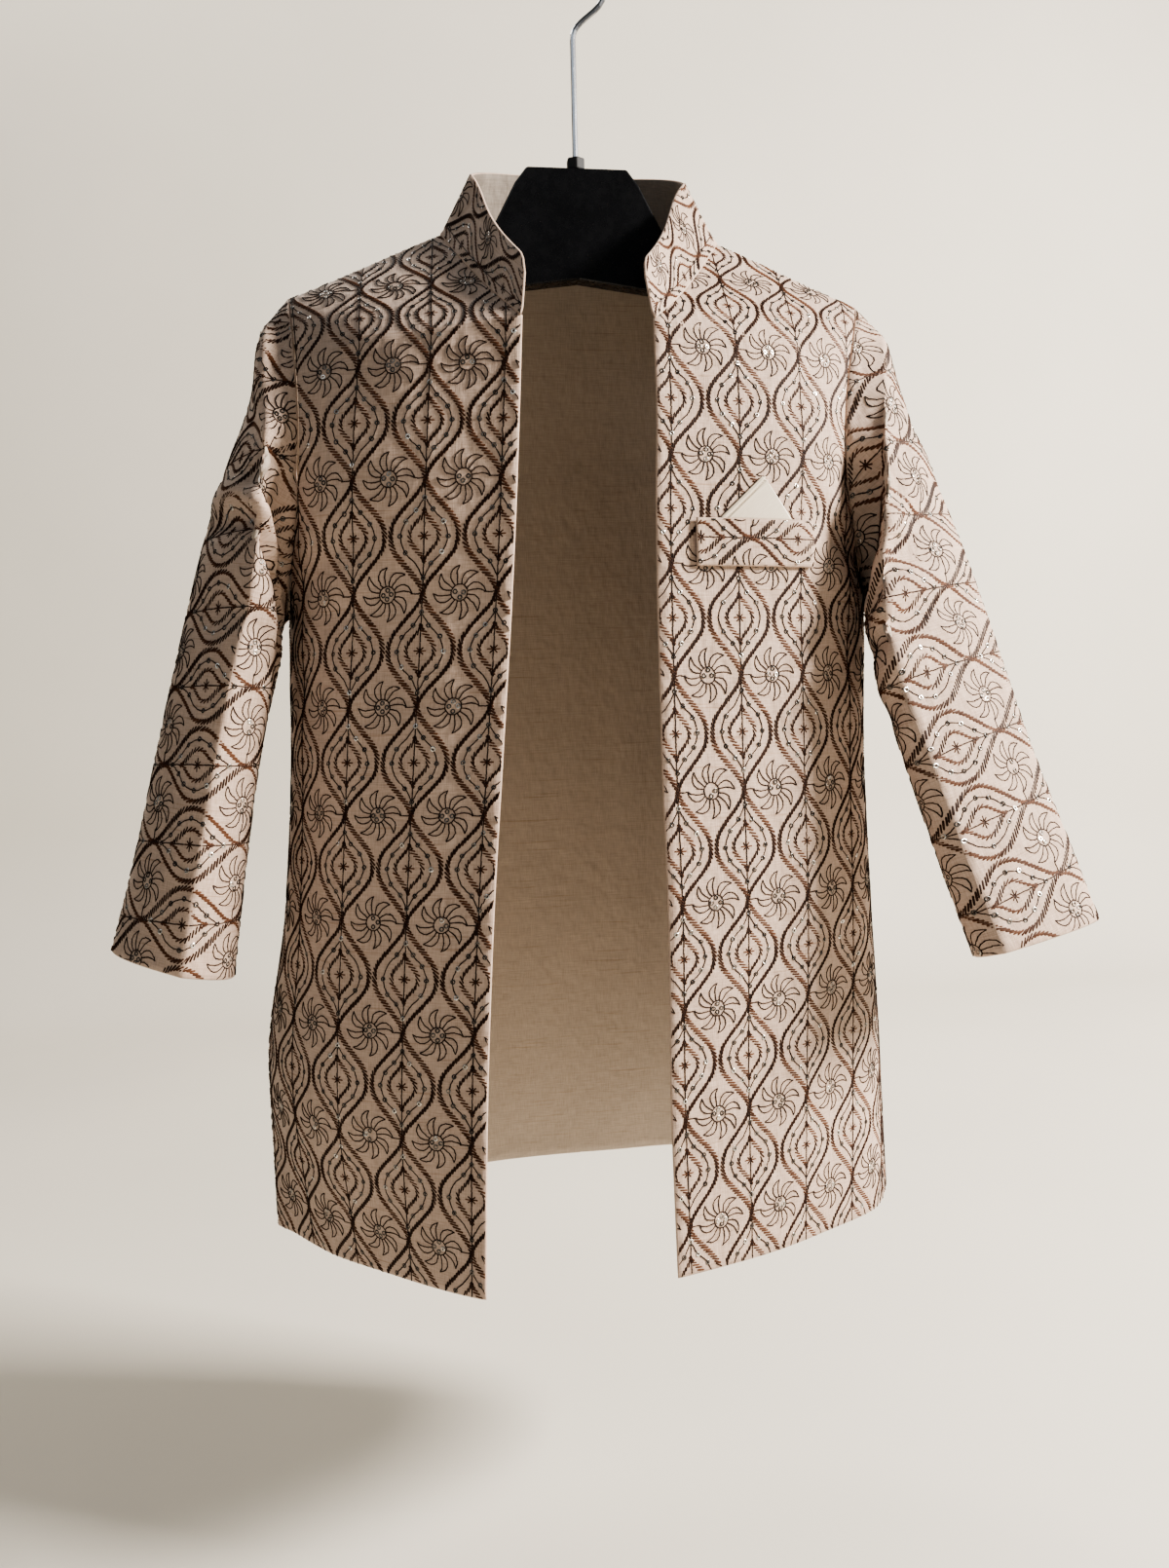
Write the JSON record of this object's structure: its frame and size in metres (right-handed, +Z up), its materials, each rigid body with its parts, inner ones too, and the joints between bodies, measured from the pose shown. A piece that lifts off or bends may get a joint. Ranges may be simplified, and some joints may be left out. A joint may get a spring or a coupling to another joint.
{
  "type": "sherwani coat on a hanger",
  "caption": "Child's open-front sherwani coat with a standing collar, long sleeves and a breast pocket, embroidered all over, hanging from a moulded hanger with a wire hook.",
  "frame": {"origin": "inside the top of the hook's curl, where a hand or a rail holds the hanger up", "axes": "+Z up, -Y towards the front of the coat, +X towards the wearer's left"},
  "size_m": [0.5704, 0.1964, 0.7605],
  "materials": {
    "embroidered_cloth": "beige raw-silk weave with copper-brown stitching and small sequins",
    "square_satin": "cream satin, soft sheen",
    "hanger_plastic": "gloss black moulded plastic",
    "hook_steel": "bright steel wire"
  },
  "bodies": {
    "root": {"front_right": "embroidered_cloth", "front_left": "embroidered_cloth", "back": "embroidered_cloth", "sleeve_right": "embroidered_cloth", "sleeve_left": "embroidered_cloth", "collar": "embroidered_cloth", "pocket_welt": "embroidered_cloth", "pocket_square": "square_satin", "hanger_body": "hanger_plastic", "hanger_cap": "hanger_plastic", "hanger_hook": "hook_steel"}
  },
  "joints": []
}
